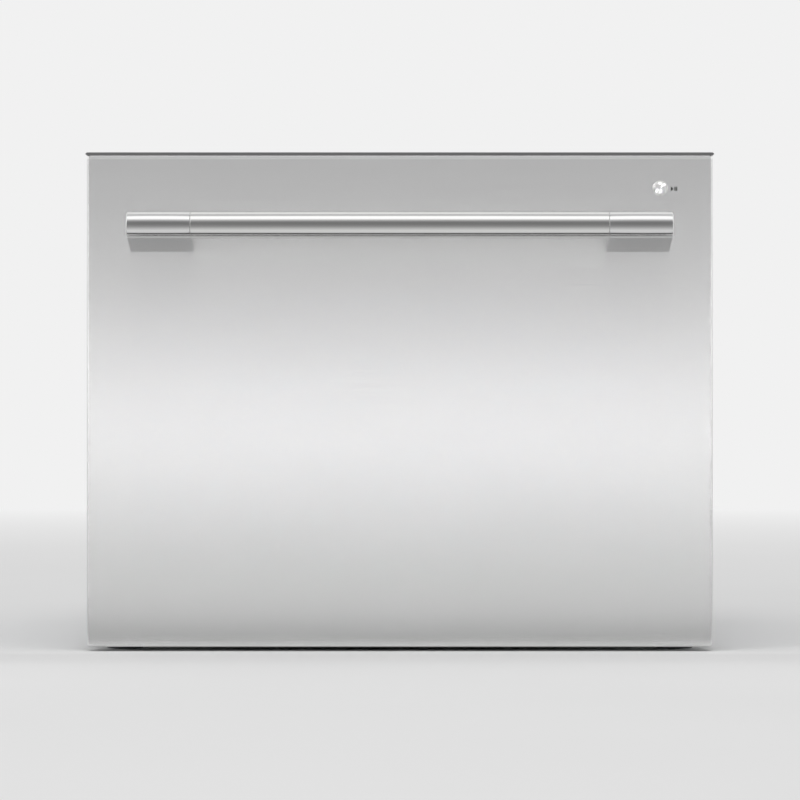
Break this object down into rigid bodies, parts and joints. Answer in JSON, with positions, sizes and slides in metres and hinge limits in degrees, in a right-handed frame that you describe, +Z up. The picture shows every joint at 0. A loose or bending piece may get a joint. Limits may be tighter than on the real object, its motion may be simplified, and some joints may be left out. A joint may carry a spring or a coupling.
{
  "type": "dishwasher drawer",
  "caption": "Built-in dishwasher drawer: sheet steel chassis, sliding tub with rack and spray arm, lifting lid, brushed steel front with bar handle and start button.",
  "frame": {"origin": "on the floor under the middle of the object's box, drawer closed", "axes": "+X to the right seen from the front, -Y out of the front, +Z up"},
  "size_m": [0.599, 0.634, 0.475],
  "materials": {
    "galvanised": "satin zinc-coated sheet",
    "zinc": "bright zinc plated",
    "dark_plastic": "fine grained moulding",
    "spray_plastic": "fine grained moulding",
    "light_plastic": "satin moulding",
    "grey_plastic": "satin moulding",
    "black_plastic": "matte moulding",
    "blue_plastic": "gloss moulding",
    "rubber": "matte elastomer",
    "brushed_steel": "horizontal brushed stainless",
    "polished_steel": "fine satin stainless",
    "trim_steel": "anodised dark satin",
    "control_glass": "gloss black touch strip",
    "stainless": "plain stainless",
    "copper_winding": "enamelled copper windings",
    "rack_coating": "nylon coated wire",
    "basket_plastic": "satin moulding"
  },
  "bodies": {
    "chassis": {"chassis_base": "galvanised", "chassis_sides": "galvanised", "chassis_top": "galvanised", "chassis_back": "galvanised", "opening_trim": "dark_plastic", "levelling_feet": "dark_plastic", "chassis_screws": "zinc", "outer_runners": "zinc", "link_anchor": "dark_plastic", "flood_sensor": "dark_plastic", "supply_hoses": "rubber", "inlet_valve": "light_plastic", "drain_spigot": "black_plastic", "power_inlet": "black_plastic", "lid_actuators": "dark_plastic"},
    "drawer": {"front_skin": "brushed_steel", "front_frame": "dark_plastic", "front_gasket": "rubber", "top_trim": "trim_steel", "control_strip": "control_glass", "handle_bar": "polished_steel", "handle_ends": "polished_steel", "drawer_screws": "zinc", "button_bezel": "polished_steel", "tub": "light_plastic", "inner_runners": "zinc", "link_tub_bracket": "dark_plastic", "sump": "dark_plastic", "heater_ring": "stainless", "motor_housing": "dark_plastic", "motor_stator": "copper_winding", "filter_plate": "stainless", "drain_filter": "dark_plastic", "spray_riser": "dark_plastic", "control_module": "black_plastic", "drying_fan_housing": "dark_plastic", "dispenser_body": "grey_plastic", "rack_floor": "rack_coating", "rack_sides": "rack_coating", "rack_ends": "rack_coating", "rack_corners": "rack_coating", "rack_clips": "rack_coating", "cutlery_basket": "basket_plastic"},
    "runner_mid_left": {"runner_mid_left": "zinc"},
    "runner_mid_right": {"runner_mid_right": "zinc"},
    "link_lower": {"link_lower": "dark_plastic"},
    "link_upper": {"link_upper": "dark_plastic"},
    "lid": {"lid_panel": "light_plastic", "lid_seal": "rubber", "lid_carriers": "dark_plastic"},
    "start_button": {"start_button": "polished_steel"},
    "wash_rotor": {"wash_rotor": "light_plastic"},
    "spray_arm": {"spray_arm": "spray_plastic"},
    "fan_wheel": {"fan_wheel": "light_plastic"},
    "dispenser_lid": {"dispenser_lid": "light_plastic"},
    "rinse_cap": {"rinse_cap": "blue_plastic"},
    "tine_row_front": {"tine_row_front": "rack_coating"},
    "tine_row_back": {"tine_row_back": "rack_coating"},
    "cup_rack_left": {"cup_rack_left": "rack_coating"},
    "cup_rack_right": {"cup_rack_right": "rack_coating"}
  },
  "joints": [
    {"name": "drawer_slide", "type": "slide", "parent": "chassis", "child": "drawer", "axis": [0, -1, 0], "range_m": [0, 0.5]},
    {"name": "runner_left_slide", "type": "slide", "parent": "chassis", "child": "runner_mid_left", "axis": [0, -1, 0], "range_m": [0, 0.25]},
    {"name": "runner_right_slide", "type": "slide", "parent": "chassis", "child": "runner_mid_right", "axis": [0, -1, 0], "range_m": [0, 0.25]},
    {"name": "link_lower_swing", "type": "hinge", "parent": "chassis", "child": "link_lower", "pos_m": [-0.1, -0.02, 0.0315], "axis": [0, 0, -1], "range_deg": [0, 69.3]},
    {"name": "link_elbow", "type": "hinge", "parent": "link_lower", "child": "link_upper", "pos_m": [0.08104, 0.105, 0.049], "axis": [0, 0, 1], "range_deg": [0, 138.59]},
    {"name": "lid_lift", "type": "slide", "parent": "chassis", "child": "lid", "axis": [0, 0, 1], "range_m": [0, 0.008]},
    {"name": "start_button_press", "type": "slide", "parent": "drawer", "child": "start_button", "axis": [0, 1, 0], "range_m": [0, 0.0008], "stiffness_N_per_m": 800},
    {"name": "wash_rotor_spin", "type": "hinge", "parent": "drawer", "child": "wash_rotor", "pos_m": [0, 0.02, 0.098], "axis": [0, 0, 1], "continuous": true},
    {"name": "spray_arm_spin", "type": "hinge", "parent": "drawer", "child": "spray_arm", "pos_m": [0, 0.02, 0.133], "axis": [0, 0, 1], "continuous": true},
    {"name": "fan_spin", "type": "hinge", "parent": "drawer", "child": "fan_wheel", "pos_m": [0.205, -0.1465, 0.08], "axis": [0, 0, 1], "continuous": true},
    {"name": "dispenser_lid_hinge", "type": "hinge", "parent": "drawer", "child": "dispenser_lid", "pos_m": [0.096, -0.2015, 0.408], "axis": [1, 0, 0], "range_deg": [0, 90]},
    {"name": "rinse_cap_turn", "type": "hinge", "parent": "drawer", "child": "rinse_cap", "pos_m": [0.168, -0.203, 0.38], "axis": [0, 1, 0], "range_deg": [0, 90]},
    {"name": "tine_row_front_fold", "type": "hinge", "parent": "drawer", "child": "tine_row_front", "pos_m": [0, -0.04, 0.1605], "axis": [-1, 0, 0], "range_deg": [0, 85]},
    {"name": "tine_row_back_fold", "type": "hinge", "parent": "drawer", "child": "tine_row_back", "pos_m": [0, 0.08, 0.1605], "axis": [-1, 0, 0], "range_deg": [0, 85]},
    {"name": "cup_rack_left_fold", "type": "hinge", "parent": "drawer", "child": "cup_rack_left", "pos_m": [-0.262, 0.02, 0.305], "axis": [0, -1, 0], "range_deg": [0, 85]},
    {"name": "cup_rack_right_fold", "type": "hinge", "parent": "drawer", "child": "cup_rack_right", "pos_m": [0.262, 0.02, 0.305], "axis": [0, 1, 0], "range_deg": [0, 85]}
  ],
  "couplings": [
    {"joint": "runner_left_slide", "follows": "drawer_slide", "ratio": 0.5},
    {"joint": "runner_right_slide", "follows": "drawer_slide", "ratio": 0.5},
    {"joint": "link_lower_swing", "follows": "drawer_slide", "rad_per_m": 2.4172},
    {"joint": "link_elbow", "follows": "drawer_slide", "rad_per_m": 4.8344}
  ]
}
